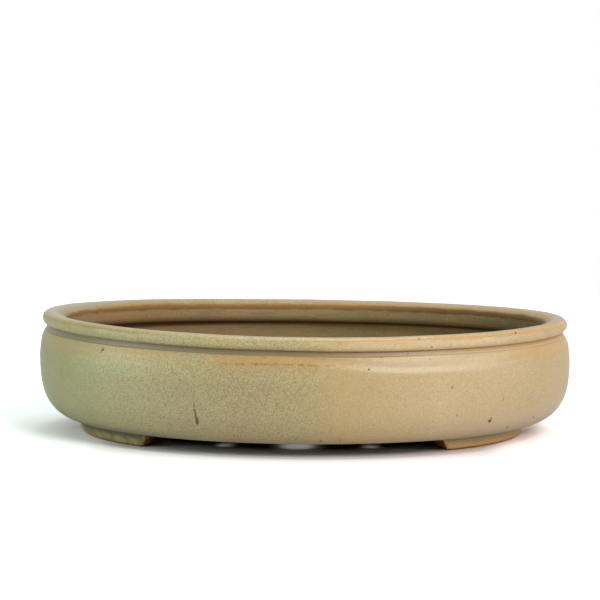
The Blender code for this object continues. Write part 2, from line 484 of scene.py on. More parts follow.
print("mid olive in linear light:", [round(value, 3) for value in seen(165, 160, 121)])

# %% [markdown]
# ## The glaze
#
# A wood-ash glaze never has one colour. In the kiln this pot stood with one end nearer the
# fire: that end came out grey-green and grainy, the other one tan and smooth, with a quite
# sudden change a little right of the middle. Where the glaze runs thin over an edge it breaks
# to ochre and rust, and where it gathers in the groove it turns grey and mauve. Iron in the
# clay comes through as small dark specks.
#
# Each of these is a short function that paints one layer over the colour that it is given, as
# a decorator would, and returns the new colour. All of them read the same place, the Object
# coordinates in millimetres, so the layers run on from the lip to the wall and the feet.

# %% The colour sweep along the pot
SWEEP = [
    (0.00, (134, 137, 88)),
    (0.11, (158, 160, 110)),
    (0.18, (165, 163, 118)),
    (0.40, (165, 150, 108)),
    (0.52, (171, 155, 112)),
    (0.58, (184, 160, 112)),
    (0.75, (191, 168, 128)),
    (0.88, (179, 156, 115)),
    (1.00, (172, 150, 112)),
]


def glazed(place, layers):
    """Olive green at the left end, tan at the right, uneven where they meet, under layers."""
    x = place.split()[0]
    colour = ramp(x + place.wobble(30, 16, seed=3e3), SWEEP)
    for layer in layers:
        colour = layer(place, colour)
    return colour


# %% Soft clouds and fine grain
def mottle(place, colour):
    """Clouds of green and mauve, and a fine grain, all strongest left of the middle."""
    x = place.split()[0]
    left = x.ease(22, -4)
    grainy = 0.45 + 0.55 * left * x.ease(-150, -70)
    clouds = place.noise(15, detail=3, seed=5e3)
    tufts = place.wobble(3, 0.1, seed=6e3)
    grain = place.noise(0.55, detail=1, seed=7e3)
    cloudy = coats(
        colour,
        (clouds.ease(0.48, 0.72) * (0.05 + 0.2 * left), (160, 163, 116)),
        (clouds.ease(0.5, 0.3) * (0.1 + 0.2 * left), (166, 145, 114)),
    )
    grained = cloudy.scaled(1 + (grain - 0.5) * grainy * 1.9 + tufts)
    return blend(grain.ease(0.6, 0.74) * grainy * 0.15, grained, (104, 90, 58))


# %% Painted light and shade at the foot of the wall
LOW_LEVEL = 28


def low_wall(place, colour):
    """Painted light, a dusty pink, low on the right end; painted shade along the low wall, deepest where the
    left end meets its feet.
    """
    x, _, z = place.split()
    low = z.ease(LOW_LEVEL, LOW_LEVEL / 2)
    foot = z.ease(LOW_LEVEL / 2, LOW_LEVEL / 4)
    return coats(
        colour,
        (x.ease(70, 120) * low * 0.3, (208, 188, 162)),
        (low * 0.1, (136, 118, 82)),
        (x.ease(-45, -85) * foot * 0.55, (110, 98, 74)),
    )


# %% [markdown]
# The blush under the groove: a broad ochre flush that comes and goes along the shoulder, with
# a thin rusty line inside it where the glaze parted. On the real pot it is strongest in the
# middle of the front and near both ends. Below and between, the shoulder is painted paler:
# partly a thicker, paler glaze, partly painted light where the shoulder faces up, with a painted
# pink highlight right of the middle.

# %% The ochre blush, and painted light on the shoulder
BLUSH_MIDDLE = 53.5
BLUSH_REACH = 7
RUST_LINE = 51.2
UPPER_RUST_LINE = RUST_LINE + 3.2
SHOULDER_LIGHT_LEVEL = 51.8
BROAD_LIGHT_LEVEL = 47
PINK_HIGHLIGHT_LEVEL = 49.5


def blush(place, colour):
    """Painted light on the shoulder, then ochre flushes along it, and the thin rusty line in them."""
    x, _, z = place.split()
    # Painted light: the shoulder is paler where it faces up, and right of the middle a painted pink
    # highlight lies over a paler glaze.
    shoulder_light = x.near(-62, 60, 15) * z.near(SHOULDER_LIGHT_LEVEL, 5, 1) * 0.08
    broad_light = x.near(-50, 95, 55) * z.near(BROAD_LIGHT_LEVEL, 9, 2) * 0.09
    pink_highlight = x.near(70, 50, 15) * z.near(PINK_HIGHLIGHT_LEVEL, 6, 1) * 0.3
    brightened = blend(pink_highlight, colour.scaled(1 + shoulder_light + broad_light), (214, 194, 166))

    height = z - 1.6 * x.ease(-50, -90) + place.wobble(25, 3, seed=11e3)
    band = height.near(BLUSH_MIDDLE, BLUSH_REACH, 1.5)
    ends = x.ease(96, 128) * 0.8 + x.near(-102, 55, 25) * 0.6
    patches = 0.55 + 0.45 * place.noise(9, detail=4, seed=13e3).ease(0.35, 0.65)
    share = band * x.near(-8, 50, 12).at_least(ends) * patches * 0.75
    flushed = blend(share, brightened, (186, 146, 82))

    level = height + place.wobble(1.3, 2.2, seed=16e3)
    broken = place.noise(2.4, detail=4, seed=17e3).ease(0.38, 0.58)
    thread = level.near(RUST_LINE, 0.7, 0.1) * broken * x.near(-6, 42, 14)
    upper = level.near(UPPER_RUST_LINE, 0.5, 0.1) * broken * x.near(28, 36, 14)
    parted = blend(thread * 0.75, flushed, (140, 96, 42))
    return blend(upper * 0.5, parted, (176, 112, 74))


# %% [markdown]
# Where the glaze lies thick or thin. The two marks come from the section, so the grey stays in
# the groove and the ochre on the edges however the pot is turned. High up the groove, under the
# lip, `pooled_and_shaded` also lays painted shade, a brown over the glaze. Noise breaks both up,
# because a glaze line drawn with a ruler looks printed.

# %% Pooled and thin glaze
POOL = [
    (0.00, (132, 127, 92)),
    (0.25, (122, 113, 88)),
    (0.50, (130, 116, 88)),
    (0.66, (146, 122, 92)),
    (0.76, (186, 160, 128)),
    (0.84, (197, 170, 133)),
    (1.00, (184, 154, 108)),
]


def pooled_glaze(place, colour):
    """Grey and mauve in the groove, pinkish towards the right end, and painted shade, brown, up under the
    lip.
    """
    x = place.split()[0]
    ragged = place.mark("pooled_and_shaded") + place.wobble(5, 0.4, detail=3, seed=19e3)
    pooled_and_shaded = blend(ragged.ease(0.25, 0.75) * 0.85, colour, ramp(x, POOL))
    # Painted shade: brown, highest up the groove, under the lip.
    brown = blend(x.ease(-10, 60), (84, 66, 40), (140, 92, 36))
    return blend(ragged.ease(1.2, 1.9) * (0.3 + 0.22 * x.ease(-30, 20)), pooled_and_shaded, brown)


def thin_glaze(place, colour):
    """Ochre, then rust, where the glaze has run off an edge."""
    ragged = place.mark("thin") + place.wobble(7, 0.7, detail=4, seed=23e3)
    ochre = blend(ragged.ease(0.3, 0.9) * 0.65, colour, (186, 146, 86))
    return blend(ragged.ease(0.85, 1.2) * 0.85, ochre, (84, 58, 28))


# %% [markdown]
# Iron specks. Most are scattered by a Voronoi texture, whose cells each hold one speck or none.
# The few that are large enough to know the pot by are put where they are on the real one: the
# long run of dark glaze low on the left, the little hook under the lip, and the chips on the
# right. Each has its middle, its reach along and up the pot, and how dark it is. `mark_at`
# measures the distance to a mark in its own stretched space.

# %% Specks and marks
MARKS = {
    "top of the long run": ((-53.0, -99.6, 27.6), (0.4, 3.4), 0.6),
    "middle of the run": ((-52.3, -99.2, 23.2), (0.55, 3.2), 0.75),
    "foot of the run": ((-51.5, -98.5, 19.6), (0.9, 2.3), 0.85),
    "hook": ((-105.2, -74.4, 54.6), (0.75, 0.8), 0.9),
    "tail of the hook": ((-106.1, -74.0, 53.5), (0.45, 0.9), 0.6),
    "shoulder speck": ((39.6, -102.6, 48.7), (0.55, 0.6), 0.9),
    "low chip": ((104.2, -74.1, 17.5), (0.9, 0.9), 0.95),
    "tip of the low chip": ((105.0, -73.5, 18.6), (0.5, 0.8), 0.8),
    "low chip beside it": ((114.5, -61.2, 12.2), (0.8, 0.7), 0.7),
    "faint chip": ((86.5, -86.4, 22.2), (0.6, 0.6), 0.45),
    "end chip": ((129.4, -48.7, 15.9), (0.6, 0.7), 0.5),
    "base speck": ((14.4, -100.3, 9.9), (0.7, 0.5), 0.9),
    "base speck beside it": ((24.5, -99.8, 10.5), (0.6, 0.4), 0.7),
    "tick": ((83.6, -89.5, 37.8), (0.36, 1.1), 0.6),
    "tick beside it": ((111.6, -72.3, 29.2), (0.3, 1.1), 0.45),
    "lip speck": ((65.6, -93.7, 63.9), (0.5, 0.5), 0.75),
    "lip speck below": ((72.4, -90.4, 59.6), (0.5, 0.5), 0.7),
    "right lip speck": ((118.0, -64.5, 64.4), (0.55, 0.55), 0.85),
    "speck by the groove": ((59.8, -95.0, 56.2), (0.5, 0.5), 0.6),
    "speck left of it": ((46.3, -97.5, 54.6), (0.45, 0.5), 0.5),
    "back rim speck": ((61.0, 92.0, 66.8), (1.0, 0.9), 0.7),
}
MARK_DEPTH = 6.0
SPECK_CELL = 9


def mark_at(place, middle, reach):
    """1 inside one mark, 0 outside it, however the surface curves away."""
    wide, tall = reach
    stretched = place.minus(middle).times((1 / wide, 1 / MARK_DEPTH, 1 / tall))
    return stretched.length().ease(1.25, 0.6)


def specks(place, colour):
    """Small iron specks everywhere, and the marks that this pot is known by."""
    uneven = place.plus(place.noise(1.5, output=1).scaled(0.7))
    cells = place.bench.node("ShaderNodeTexVoronoi", {"Vector": uneven, "Scale": 1 / SPECK_CELL})
    distance, lot = cells.siblings()[:2]
    red, green, _ = lot.split()
    size = red.ease(0.72, 1.0) * 0.055
    scattered = (distance - size).ease(0.01, -0.015) * (0.3 + 0.5 * green)
    spotted = blend(scattered, colour, (96, 74, 44))
    for middle, reach, strength in MARKS.values():
        spotted = blend(mark_at(place, middle, reach) * strength, spotted, (50, 32, 6))
    return spotted


# %% [markdown]
# ## Bare clay
#
# The inside, the underside and the cut ends of the feet are unglazed. Wood ash in the kiln still
# colours them: mauve-brown at the left, a darker olive at the right, with faint streaks of ochre
# and green along the inside. The clay is coarser than the glaze, so it has grain and pits, and
# no shine.

# %% The colour of the bare clay
CLAY_SWEEP = [
    (0.00, (145, 119, 82)),
    (0.22, (150, 126, 88)),
    (0.35, (153, 132, 96)),
    (0.50, (151, 135, 94)),
    (0.75, (129, 117, 76)),
    (0.88, (104, 96, 55)),
    (1.00, (98, 90, 50)),
]
DRAWN_OUT = (0.1, 0.1, 1.0)


def clay_colour(place):
    """Brown stoneware with streaks, smudges and sandy grain."""
    body = ramp(place.split()[0] + place.wobble(40, 40, seed=29e3), CLAY_SWEEP)
    streaks = place.times(DRAWN_OUT).noise(2.5, detail=3, seed=79e3)
    smudges = place.noise(18, detail=3, seed=37e3)
    grain = place.noise(1.2, detail=4, seed=31e3)
    return coats(
        body,
        (streaks.ease(0.5, 0.64) * 0.45, (160, 122, 64)),
        (streaks.ease(0.48, 0.36) * 0.4, (116, 108, 82)),
        (smudges.ease(0.45, 0.75) * 0.3, (134, 110, 74)),
        (grain.ease(0.55, 0.75) * 0.35, (182, 154, 116)),
        (grain.ease(0.45, 0.28) * 0.4, (84, 64, 42)),
    )


def sand(place):
    """The roughness of bare clay, for the bump."""
    return place.noise(0.9, detail=5, seed=47e3)


# %% [markdown]
# ## Putting the finishes together
#
# One function lays glaze over clay. The mark `past`, plus noise, decides where the glaze stops,
# and a rusty thread runs along that line as it does on the real lip. Gloss follows the same
# mask: the glaze is satin, the clay is dull. The bump is shallow, a fine orange peel on the
# glaze and a coarser grain on the clay.

# %% Build a finish
CLAY_RELIEF = 0.12 * MM
SKIRT_LEVEL = 52.8


def open_finish(name):
    """A new material with only a Principled shader and its output, and the place in millimetres."""
    finish = bpy.data.materials.new(name)
    finish.use_nodes = True
    place = Bench(finish.node_tree).node("ShaderNodeTexCoord", output=3)
    return finish, place.scaled(1 / MM)


def wire_up(finish, colour, roughness, height, relief):
    """Connect what varies over the surface to the shader."""
    sockets = {"Height": height, "Distance": relief, "Strength": 1.0}
    bump = colour.bench.node("ShaderNodeBump", sockets)
    sockets = {"Base Color": colour, "Roughness": roughness, "Normal": bump}
    colour.bench.wire(finish.node_tree.nodes["Principled BSDF"], sockets)


def fired_finish(name, layers, painted_shade):
    """Glaze over clay, with the glaze stopping at the line that the section gives, and painted shade on the
    clay.
    """
    finish, place = open_finish(name)
    past = place.mark("past")
    edge = past + place.wobble(8, 3, detail=3, seed=41e3)
    bare = edge.ease(-0.3, 0.5)
    # Painted shade: the clay goes nearly black where the given mask says shade falls.
    clay = blend(painted_shade(place, past) * 0.85, clay_colour(place), (60, 30, 1))
    rust = blend(place.split()[0].ease(20, 100), (120, 80, 24), (80, 54, 6))
    thread = edge.near(0.6, 2.2, 0.4)
    colour = blend(thread * 0.85, blend(bare, glazed(place, layers), clay), rust)
    peel = place.noise(1.6, seed=43e3)
    height = peel * (1 - bare) * 0.35 + sand(place) * bare
    thinned = past.ease(-7.5, -3) * (1 - bare)
    roughness = 0.42 + (peel - 0.5) * 0.1 + bare * 0.42 + thinned * 0.36
    wire_up(finish, colour, roughness, height, CLAY_RELIEF)
    return finish


def soot_under_the_skirt(place, past):
    """Painted shade: the dark line inside, on the wall behind the lower edge of the lip."""
    return place.split()[2].near(SKIRT_LEVEL, 3.0, 0.8)


WALL_LAYERS = [mottle, low_wall, blush, pooled_glaze, thin_glaze, specks]
WALL_FINISH = fired_finish("ash_glaze_on_the_wall", WALL_LAYERS, soot_under_the_skirt)
print("wall finish:", len(WALL_FINISH.node_tree.nodes), "nodes")

# %% [markdown]
# ## The wall
#
# From the top, the section of the wall goes down the groove, out over the shoulder to the belly
# and round under to the flat band it stands on, then up the inside, one wall thickness away. The
# groove ends in a small ledge, which catches the light on the real pot.

# %% Draw the section of the wall
SHOULDER_POWER = 2.15
LOWER_POWER = 2.6
GROOVE_HEIGHT = 2.7 * MM
GROOVE_DEPTH = 0.8 * MM
LEDGE_HEIGHT = 0.5 * MM
TUCK_UNDER_LIP = 1.0 * MM
BASE_EDGE = 1.2 * MM
BASE_EDGE_THIN = 0.6
OUTER_STEPS = 90
LOWER_STEPS = 30
INNER_LOWER_STEPS = 24
INNER_STEPS = 14


def spread(start, end, steps):
    """Evenly spaced values from start to end, with both."""
    return [start + (end - start) * step / steps for step in range(steps + 1)]


def clamped(share):
    """A share kept between 0 and 1."""
    return min(1.0, max(0.0, share))


def shoulder_inset(height):
    """How far the outside of the wall lies inside the belly, above the belly."""
    climb = max(0.0, (height - BELLY_HEIGHT) / (NECK_TOP - BELLY_HEIGHT))
    return NECK_INSET * climb ** SHOULDER_POWER


def lower_curve(bottom, steps):
    """(share of the inset, height) from just below the belly down to the given level."""
    power = 2 / LOWER_POWER
    return [
        (1 - clamped(cos(angle)) ** power, BELLY_HEIGHT - (BELLY_HEIGHT - bottom) * sin(angle) ** power)
        for angle in spread(0.0, pi / 2, steps)[1:]
    ]


def in_groove(height):
    """1 in the groove, falling to 0 down the small ledge at its foot."""
    share = clamped((height - (NECK_TOP - GROOVE_HEIGHT)) / LEDGE_HEIGHT)
    return share * share * (3 - 2 * share)


def up_groove(height):
    """0 at the foot of the groove, 1 at the top of it, under the lip, where painted shade is laid."""
    return clamped((height - NECK_TOP + GROOVE_HEIGHT) / GROOVE_HEIGHT)


def wall_outside():
    """Corners from under the lip, down the outside, to the inner edge of the base band."""
    tucked = NECK_INSET + 2 * TUCK_UNDER_LIP
    corners = [(tucked, tucked, NECK_TOP + TUCK_UNDER_LIP, 0.0, 2.0)]
    for height in spread(NECK_TOP + 0.6 * TUCK_UNDER_LIP, BELLY_HEIGHT, OUTER_STEPS):
        inset = shoulder_inset(height) + GROOVE_DEPTH * in_groove(height)
        corners.append((inset, inset, height, 0.0, in_groove(height) + up_groove(height)))
    for share, height in lower_curve(BASE_LEVEL, LOWER_STEPS):
        thin = BASE_EDGE_THIN * clamped(1 - (height - BASE_LEVEL) / BASE_EDGE)
        corners.append((BASE_INSET_END * share, BASE_INSET_SIDE * share, height, thin, 0.0))
    return corners


def wall_inside():
    """Corners from the floor up the inside of the wall to its top."""
    corners = []
    for share, height in reversed(lower_curve(FLOOR_TOP, INNER_LOWER_STEPS)):
        end, side = (
            WALL_THICKNESS + (inset + BASE_BAND - WALL_THICKNESS) * share
            for inset in (BASE_INSET_END, BASE_INSET_SIDE)
        )
        corners.append((end, side, height, 0.0, 0.0))
    for height in spread(BELLY_HEIGHT, NECK_TOP, INNER_STEPS):
        inset = shoulder_inset(height) + WALL_THICKNESS
        corners.append((inset, inset, height, 0.0, 0.0))
    return corners


outside = wall_outside()
floor_edge = (BASE_INSET_END + BASE_BAND, BASE_INSET_SIDE + BASE_BAND, BASE_LEVEL, 0.0, 0.0)
wall_line = section_mesh("wall_section", outside + [floor_edge] + wall_inside(), len(outside) - 2)
print("wall section:", len(wall_line.vertices), "corners")

# %% [markdown]
# The same amounts go to the wall and to the lip, apart from the finish. Turning the section
# into a ring of 360 steps keeps the outline of the oval smooth even close up.

# %% Make the wall
wall_mesh = run_tree(OVAL, wall_line, {**BY_HAND, "Finish": WALL_FINISH})
stand_in_place(wall_mesh, "glazed_wall", "wall")

# %% [markdown]
# ## The lip
#
# The lip is a second strip, pressed on to the top of the wall and rounded over with a wet cloth.
# Its outer edge is a half round that hangs over the groove, its top falls towards the inside, and
# a skirt laps down inside the wall, which leaves the dark line that shows across the pot: the
# shadow of the recess under the skirt, deepened by painted shade on the turn of the skirt and on
# the wall behind it. The glaze is thinnest along the crest and the lower edge, and stops at the
# inner corner. For each of the two, `THIN_PLACES` says how thin, at which turn in degrees, and
# how far that reaches.

# %% Draw the section of the lip
CREST_INSET = 5.85 * MM
LIP_HEIGHT = 7.7 * MM
LIP_RADIUS = LIP_HEIGHT / 2
LIP_TOP_RUN = 9.2 * MM
LIP_FALL = 3 * MM
LIP_INNER_RADIUS = 2.5 * MM
LIP_SKIRT = 8.8 * MM
SKIRT_ROLL = 4.5 * MM
LOWER_EDGE_TURN = -178
THIN_PLACES = {
    "crest": (0.4, -28, 16),
    "lower edge": (0.9, -164, 9),
}
CREST_STEPS = 26
TOP_STEPS = 12
CORNER_STEPS = 8
ROLL_STEPS = 12
BACK_STEPS = 4


def bell(value, middle, reach):
    """1 in the middle, falling smoothly to nearly 0 about two reaches away."""
    away = (value - middle) / reach
    return 2 ** (-away * away)


def arc(inset, height, radius, start, end, steps):
    """(turn, inset, height) along an arc, with turns in degrees inwards from straight up."""
    return [
        (turn, inset + radius * sin(radians(turn)), height + radius * cos(radians(turn)))
        for turn in spread(start, end, steps)
    ]


def lip_outside():
    """The half round and the sloping top, as (inset, height, thin)."""
    outline = []
    middle_height = POT_HEIGHT - LIP_RADIUS
    crest = arc(CREST_INSET, middle_height, LIP_RADIUS, LOWER_EDGE_TURN, 0, CREST_STEPS)
    for turn, inset, height in crest:
        thin = sum(most * bell(turn, middle, reach) for most, middle, reach in THIN_PLACES.values())
        outline.append((inset, height, thin))
    for share in spread(0.0, 1.0, TOP_STEPS)[1:]:
        outline.append((CREST_INSET + LIP_TOP_RUN * share, POT_HEIGHT - LIP_FALL * share ** 2, 0.0))
    return outline


def lip_inside():
    """The inner corner, the skirt and the hidden back, as (inset, height, thin)."""
    lean = atan2(2 * LIP_FALL, LIP_TOP_RUN)
    middle_inset = CREST_INSET + LIP_TOP_RUN - LIP_INNER_RADIUS * sin(lean)
    middle_height = POT_HEIGHT - LIP_FALL - LIP_INNER_RADIUS * cos(lean)
    bottom = middle_height - LIP_SKIRT
    roll_inset = middle_inset + LIP_INNER_RADIUS - SKIRT_ROLL
    corner = arc(middle_inset, middle_height, LIP_INNER_RADIUS, degrees(lean), 90, CORNER_STEPS)
    roll = arc(roll_inset, bottom + SKIRT_ROLL, SKIRT_ROLL, 90, 180, ROLL_STEPS)
    outline = [(inset, height, 0.0) for _, inset, height in corner[1:] + roll]
    for height in spread(bottom, POT_HEIGHT - LIP_HEIGHT, BACK_STEPS):
        outline.append((WALL_THICKNESS + shoulder_inset(min(height, NECK_TOP)), height, 0.0))
    return outline


lip_top = lip_outside()
lip_corners = [(inset, inset, height, thin, 0.0) for inset, height, thin in lip_top + lip_inside()]
lip_line = section_mesh("lip_section", lip_corners, len(lip_top) + 2)
print("lip section:", len(lip_line.vertices), "corners")

# %% [markdown]
# The lip has its own tints over the same sweep: mint where ash settled on the left, cream on
# the right, and grey-mauve on the flat of the top. The levels of its bands are millimetres along
# the section, counted from the line where the glaze stops, like the mark `past`.

# %% Dress and make the lip
OCHRE_BAND = -14.3
CREAM_BAND = -17.2
TOP_STARTS = -13.4
LIP_TINTS = [
    (0.00, (140, 134, 88)),
    (0.20, (158, 156, 104)),
    (0.42, (176, 163, 115)),
    (0.60, (190, 167, 120)),
    (0.75, (188, 164, 120)),
    (0.84, (176, 152, 108)),
    (1.00, (150, 131, 90)),
]


def lip_tint(place, colour):
    """Cloudy tints of the lip's own over the sweep, and irregular ochre patches."""
    clouds = place.noise(16, detail=3, seed=53e3)
    patches = place.noise(11, detail=3, seed=59e3)
    tint = ramp(place.split()[0], LIP_TINTS)
    tinted = blend(0.35 + 0.6 * clouds.ease(0.35, 0.6), colour, tint)
    return blend(patches.ease(0.56, 0.72) * 0.45, tinted, (192, 150, 90))


def lip_bands(place, colour):
    """Bands along the lip: ochre below the crest, cream below that, painted light on the lower edge as it
    turns under, and a dull, ochre-edged top.
    """
    x = place.split()[0]
    right = x.ease(-10, 45)
    # Less brown at the left tip, where the top is also painted lighter as a painted highlight.
    tip = x.ease(-106, -135)
    past = place.mark("past")
    wander = place.wobble(12, 3, detail=3, seed=71e3)
    level = past + wander

    ochre = level.near(OCHRE_BAND, 1.9, 0.3) * (0.1 + 0.6 * right + 0.55 * x.ease(-60, -100))
    cream = level.near(CREAM_BAND, 2.4, 0.4) * (0.35 + 0.1 * right - 0.25 * x.ease(95, 130))
    filmed = level.ease(TOP_STARTS, TOP_STARTS + 2) * 0.75
    broken = (past + wander * 0.15).ease(-19.7, -20.8) * (0.3 + 0.55 * right)
    worn = level.ease(-6.6, -2.6) * (0.8 - 0.7 * tip)
    browned = level.ease(-4, -0.6) * (1 - 0.8 * tip)
    return coats(
        # Painted light: the lower edge of the half round is lighter where it turns under.
        colour.scaled(1 + 0.24 * past.ease(-17.6, -20)),
        (ochre, blend(right, (150, 124, 66), (186, 142, 84))),
        (cream, blend(right, (192, 188, 142), (226, 202, 164))),
        (filmed, blend(tip, (138, 126, 98), (148, 138, 122))),
        (broken, (164, 116, 56)),
        (worn, (164, 130, 68)),
        (browned, blend(x.ease(20, 100), (122, 82, 26), (82, 56, 6))),
    )


def soot_on_the_roll(place, past):
    """Painted shade: the skirt darkens as it turns under."""
    return 0.18 * past.ease(3.5, 7.5) + 0.82 * past.ease(8.6, 12.4)


LIP_LAYERS = [lip_tint, lip_bands, mottle, thin_glaze, specks]
LIP_FINISH = fired_finish("ash_glaze_on_the_lip", LIP_LAYERS, soot_on_the_roll)
lip_mesh = run_tree(OVAL, lip_line, {**BY_HAND, "Finish": LIP_FINISH})
stand_in_place(lip_mesh, "glazed_lip", "lip")

# %% [markdown]
# ## The floor
#
# The floor is the oval slab that the pot was started on. While it was leather hard, the holes
# were cut through it: two large ones for water and four small ones for the wires that hold a
# tree. A hole is something that repeats, so the tree takes one point for each hole, with its
# radius, puts a circle on every point, and fills the oval round them.

# %% Build the tree for the floor
DRAIN_HOLE = 10 * MM
WIRE_HOLE = 4 * MM
HOLE_ROW = 57 * MM
WIRE_HOLE_OFFSET = 40 * MM
RIM_STEPS = 240
FLOOR_OVERLAP = 1.5 * MM
FLOOR_LIFT = 0.05 * MM
SLAB = {
    "Half Length": HALF_LENGTH - BASE_INSET_END - BASE_BAND + FLOOR_OVERLAP,
    "Half Width": HALF_WIDTH - BASE_INSET_SIDE - BASE_BAND + FLOOR_OVERLAP,
    "Thickness": FLOOR_TOP - BASE_LEVEL + FLOOR_LIFT,
    "Hole Steps": 48,
}


def floor_tree():
    """Fill an oval round circles that stand on the given points, and thicken it upwards."""
    bench, given = open_tree("pierced_floor", SLAB)

    def circle(steps):
        return bench.node("GeometryNodeCurvePrimitiveCircle", {"Resolution": steps, "Radius": 1.0})

    def together(first, second):
        both = first.into("JoinGeometry")
        bench.wire(both.socket.node, {0: second})
        return both

    reach = bench.join(given["Half Length"], given["Half Width"], 1.0)
    oval = circle(RIM_STEPS).into("Transform", {"Scale": reach})
    radius = bench.stored("radius")
    holes = given["Section"].into("InstanceOnPoints", {
        "Instance": circle(given["Hole Steps"]),
        "Scale": bench.join(radius, radius, radius),
    })
    sheet = together(oval, holes.into("RealizeInstances")).into("FillCurve", mode="NGONS")
    raised = sheet.into("ExtrudeMesh", {
        "Offset": (0.0, 0.0, 1.0),
        "Offset Scale": given["Thickness"],
        "Individual": False,
    })
    return close_tree(weld(together(raised, sheet.into("FlipFaces"))), given["Finish"])


FLOOR = floor_tree()
print("floor tree:", len(FLOOR.nodes), "nodes")

# %% [markdown]
# The slab reaches a little way into the wall and stands a hair above the end of the wall's inner
# curve, so that the inside reads as one surface. A small bevel softens the edges of the holes,
# as a damp finger does.

# %% Dress and make the floor
def clay_finish(name):
    """Bare clay all over."""
    finish, place = open_finish(name)
    grains = sand(place)
    wire_up(finish, clay_colour(place), 0.84 + (grains - 0.5) * 0.1, grains, CLAY_RELIEF)
    return finish


def hole_points():
    """One point with a radius for each hole in the floor."""
    row = {0.0: DRAIN_HOLE, -WIRE_HOLE_OFFSET: WIRE_HOLE, WIRE_HOLE_OFFSET: WIRE_HOLE}
    mesh = bpy.data.meshes.new("hole_points")
    mesh.from_pydata([(x, y, 0.0) for y in (-HOLE_ROW, HOLE_ROW) for x in row], [], [])
    store_marks(mesh, {"radius": 2 * [*row.values()]})
    return mesh


CLAY_FINISH = clay_finish("bare_clay_of_the_floor")
floor_mesh = run_tree(FLOOR, hole_points(), {**SLAB, "Finish": CLAY_FINISH})
floor_mesh.transform(Matrix.Translation((0.0, 0.0, BASE_LEVEL)))
floor_piece = stand_in_place(floor_mesh, "clay_floor", "floor")
soft_edge = floor_piece.modifiers.new("soft_edge", "BEVEL")
soft_edge.width = 0.8 * MM
soft_edge.segments = 3
soft_edge.limit_method = "ANGLE"
soft_edge.angle_limit = radians(50)

# %% [markdown]
# ## The feet
#
# Each foot was cut from a flat strip, bent along the edge of the base and luted on. The tree does
# just that: it starts from a block divided into small cells and bends it along the ellipse, with
# its ends and its outer face leaning outwards at the top. A subdivision then rounds every edge by
# about half a cell. The cut ends were torn with a wire, so they are rough.

# %% Build the tree for a foot
FOOT_SETBACK = 0.6 * MM
FOOT_SPREAD = 5.5 * MM
FOOT_BITE = 0.1 * MM
FOOT_CELLS = {"Size": (1.0, 1.0, 1.0), "Vertices X": 30, "Vertices Y": 10, "Vertices Z": 5}
FOOT_SHAPE = {
    "Reach X": HALF_LENGTH - BASE_INSET_END - FOOT_SETBACK + FOOT_SPREAD,
    "Reach Y": HALF_WIDTH - BASE_INSET_SIDE - FOOT_SETBACK,
    "Width": 22 * MM,
    "Height": BASE_LEVEL + FOOT_BITE,
    "Tuck": 3 * MM,
    "Tear": 0.9 * MM,
    "Seed": 1,
}
FOOT_STRETCH = ("First Turn", "Last Turn", "First Lean", "Last Lean", "Arc Length")
TEAR_GRAIN = 3 * MM
TEAR_REACH = 1.6


def foot_tree():
    """Bend a block along a stretch of the ellipse that the base follows."""
    bench, given = open_tree("bent_foot", {**FOOT_SHAPE, **dict.fromkeys(FOOT_STRETCH, 0.0)})
    block = bench.node("GeometryNodeMeshCube", FOOT_CELLS)
    x, y, z = bench.node("GeometryNodeInputPosition").split()
    share = x + 0.5
    climb = z + 0.5
    tucked = given["Tuck"] * (1 - climb)
    inward = tucked + (y + 0.5) * (given["Width"] - tucked)

    first = given["First Turn"] - given["First Lean"] * climb
    last = given["Last Turn"] + given["Last Lean"] * climb
    turn = first + (last - first) * share
    out_x = given["Reach Y"] * turn.cosine()
    out_y = given["Reach X"] * turn.sine()
    length = (out_x * out_x + out_y * out_y) ** 0.5
    bent = bench.join(
        given["Reach X"] * turn.cosine() - out_x / length * inward,
        given["Reach Y"] * turn.sine() - out_y / length * inward,
        climb * given["Height"],
    )
    to_end = share.at_most(1 - share) * given["Arc Length"]
    marked = keep(keep(block, "inward", (inward - tucked) / MM), "to_end", to_end / MM)
    rounded = marked.into("SetPosition", {"Position": bent}).into("SubdivisionSurface", {"Level": 2})

    place = bench.node("GeometryNodeInputPosition")
    tear = place.wobble(TEAR_GRAIN, given["Tear"], detail=3, seed=given["Seed"])
    push = tear * bench.stored("to_end").ease(TEAR_REACH, 0.0)
    offset = bench.node("GeometryNodeInputNormal").scaled(push)
    return close_tree(rounded.into("SetPosition", {"Offset": offset}), given["Finish"])


FOOT = foot_tree()
print("foot tree:", len(FOOT.nodes), "nodes")

# %% [markdown]
# Only the outer face of a foot is glazed. The glaze breaks to ochre along the bottom and at the
# cut ends, and the clay on the ends is dark brown and gritty. Further in, where little light
# comes, painted shade takes it to nearly black, and painted shade also darkens the glaze up
# under the wall.

# %% Dress the feet
FOOT_RELIEF = 0.2 * MM


def foot_glaze(place, ragged, right):
    """Stained, and darkened with painted shade under the wall, with an ochre edge along the bottom and the
    ends.
    """
    height = place.split()[2]
    low = (height + ragged).ease(4.0, 1.8) * (0.25 + 0.7 * right)
    near_end = (place.mark("to_end") + ragged).ease(2.2, 0.6) * (0.3 + 0.5 * right)
    # Darker up against the wall: partly a dark glaze in the joint, partly painted shade under the wall.
    dark_joint_and_shade = (height + ragged).ease(3.6, 6.4) * (0.85 - 0.4 * right)
    clouds = place.noise(6, detail=3, seed=73e3).ease(0.42, 0.62)
    return coats(
        glazed(place, (mottle, specks)),
        (clouds * (0.7 - 0.6 * right), (112, 112, 66)),
        (dark_joint_and_shade, (82, 80, 50)),
        (low.at_least(near_end), (222, 168, 88)),
        ((height + ragged * 0.4).ease(1.5, 0.6) * 0.8, (124, 76, 30)),
    )


